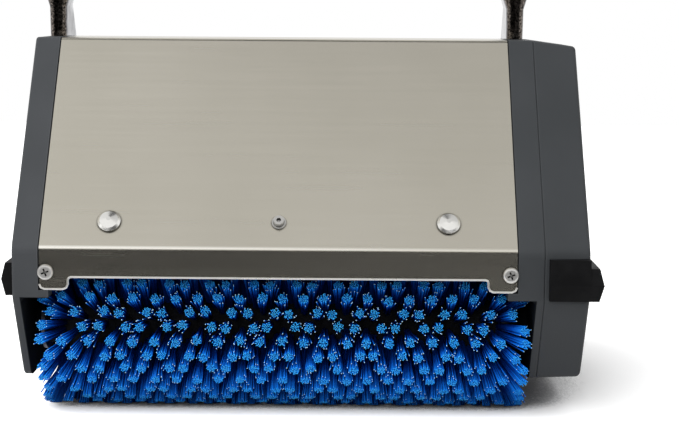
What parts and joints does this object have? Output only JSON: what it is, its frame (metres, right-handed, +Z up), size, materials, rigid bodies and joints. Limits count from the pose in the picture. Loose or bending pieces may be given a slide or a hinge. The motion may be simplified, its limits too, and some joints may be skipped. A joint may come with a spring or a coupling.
{
  "type": "counter-rotating brush scrubber",
  "caption": "Walk-behind floor scrubber: a steel-hooded body between end castings rides on a pair of counter-rotating brushes, with a tilting yoke handle and dead-man switch box.",
  "frame": {"origin": "on the floor under the middle of the whole machine's box", "axes": "+Z up, -Y towards the front, +X to the drive cover's side"},
  "size_m": [0.406, 0.307, 1.1264],
  "materials": {
    "brushed_stainless": "brushed",
    "casting_grey": "satin",
    "bumper_rubber": "matte",
    "bristle_blue": "satin",
    "core_black": "matte",
    "handle_chrome": "polished",
    "zinc_steel": "satin",
    "bright_screw": "polished",
    "motor_paint": "satin",
    "gear_steel": "satin",
    "pulley_aluminium": "turned",
    "belt_rubber": "matte",
    "box_plastic": "moulded",
    "grip_rubber": "matte",
    "button_red": "gloss",
    "wheel_plastic": "satin",
    "rotor_steel": "ground"
  },
  "bodies": {
    "chassis": {"left_end_casting": "casting_grey", "right_end_casting": "casting_grey", "drive_cover": "casting_grey", "hood": "brushed_stainless", "drive_cover_screws": "bright_screw", "left_bumper": "bumper_rubber", "right_bumper": "bumper_rubber", "deck_plate": "zinc_steel", "deck_screws": "zinc_steel", "tie_bar": "zinc_steel", "hood_rails": "zinc_steel", "hood_dome_bolts": "bright_screw", "hood_centre_screws": "bright_screw", "hood_corner_screws": "bright_screw", "handle_pivot_pins": "zinc_steel", "drive_belt": "belt_rubber", "idler_shafts": "gear_steel", "brush_bearings": "gear_steel", "motor_housing": "motor_paint", "motor_left_end_bell": "pulley_aluminium", "motor_right_end_bell": "pulley_aluminium", "motor_cradle": "zinc_steel", "wheel_brackets": "zinc_steel", "wheel_axles": "zinc_steel", "front_release_spring": "gear_steel", "rear_release_spring": "gear_steel"},
    "front_brush": {"front_brush_core": "core_black", "front_bristles": "bristle_blue", "front_drive_shaft": "gear_steel", "front_brush_gear": "gear_steel"},
    "rear_brush": {"rear_brush_core": "core_black", "rear_bristles": "bristle_blue", "rear_drive_shaft": "gear_steel", "rear_brush_gear": "gear_steel"},
    "front_idler": {"front_idler_gear": "gear_steel", "idler_pulley": "pulley_aluminium"},
    "rear_idler": {"rear_idler_gear": "gear_steel"},
    "rotor": {"motor_shaft": "rotor_steel", "motor_fan": "box_plastic", "motor_pulley": "pulley_aluminium"},
    "front_release": {"front_release_pin": "zinc_steel"},
    "rear_release": {"rear_release_pin": "zinc_steel"},
    "left_wheel_body": {"left_wheel": "wheel_plastic"},
    "right_wheel_body": {"right_wheel": "wheel_plastic"},
    "handle": {"left_yoke_tube": "handle_chrome", "right_yoke_tube": "handle_chrome", "yoke_clamp_front": "casting_grey", "yoke_clamp_rear": "casting_grey", "yoke_clamp_bolts": "bright_screw", "main_tube": "handle_chrome", "handlebar": "handle_chrome", "left_grip": "grip_rubber", "right_grip": "grip_rubber", "switch_box_front": "box_plastic", "switch_box_rear": "box_plastic", "switch_box_screws": "zinc_steel", "cord_gland": "box_plastic"},
    "trigger": {"trigger_lever": "box_plastic"},
    "button": {"lock_button": "button_red"}
  },
  "joints": [
    {"name": "front_brush_spin", "type": "hinge", "parent": "chassis", "child": "front_brush", "pos_m": [0, -0.0825, 0.0525], "axis": [1, 0, 0], "continuous": true},
    {"name": "rear_brush_spin", "type": "hinge", "parent": "chassis", "child": "rear_brush", "pos_m": [0, 0.0295, 0.0525], "axis": [1, 0, 0], "continuous": true},
    {"name": "front_idler_spin", "type": "hinge", "parent": "chassis", "child": "front_idler", "pos_m": [0, -0.0475, 0.07572], "axis": [1, 0, 0], "continuous": true},
    {"name": "rear_idler_spin", "type": "hinge", "parent": "chassis", "child": "rear_idler", "pos_m": [0, -0.0055, 0.07572], "axis": [1, 0, 0], "continuous": true},
    {"name": "motor_spin", "type": "hinge", "parent": "chassis", "child": "rotor", "pos_m": [0, -0.0265, 0.1635], "axis": [1, 0, 0], "continuous": true},
    {"name": "left_wheel_spin", "type": "hinge", "parent": "chassis", "child": "left_wheel_body", "pos_m": [0, 0.1195, 0.044], "axis": [1, 0, 0], "continuous": true},
    {"name": "right_wheel_spin", "type": "hinge", "parent": "chassis", "child": "right_wheel_body", "pos_m": [0, 0.1195, 0.044], "axis": [1, 0, 0], "continuous": true},
    {"name": "front_release_pull", "type": "slide", "parent": "chassis", "child": "front_release", "axis": [-1, 0, 0], "range_m": [0, 0.009], "stiffness_N_per_m": 1200, "springref_m": -0.004, "deforming": ["front_release_spring"]},
    {"name": "rear_release_pull", "type": "slide", "parent": "chassis", "child": "rear_release", "axis": [-1, 0, 0], "range_m": [0, 0.009], "stiffness_N_per_m": 1200, "springref_m": -0.004, "deforming": ["rear_release_spring"]},
    {"name": "handle_tilt", "type": "hinge", "parent": "chassis", "child": "handle", "pos_m": [0, 0.0025, 0.2076], "axis": [-1, 0, 0], "range_deg": [0, 71]},
    {"name": "trigger_pull", "type": "hinge", "parent": "handle", "child": "trigger", "pos_m": [0, -0.07575, 1.05106], "axis": [1, 0, 0], "range_deg": [0, 14], "stiffness_Nm_per_rad": 1.5, "springref_deg": -8.59},
    {"name": "button_press", "type": "slide", "parent": "handle", "child": "button", "axis": [0, 0.0523, -0.9986], "range_m": [0, 0.004], "stiffness_N_per_m": 500, "springref_m": -0.003}
  ],
  "couplings": [
    {"joint": "rear_brush_spin", "follows": "front_brush_spin", "ratio": -1},
    {"joint": "front_idler_spin", "follows": "front_brush_spin", "ratio": -1},
    {"joint": "rear_idler_spin", "follows": "front_brush_spin", "ratio": 1},
    {"joint": "motor_spin", "follows": "front_brush_spin", "ratio": -2.1407}
  ]
}
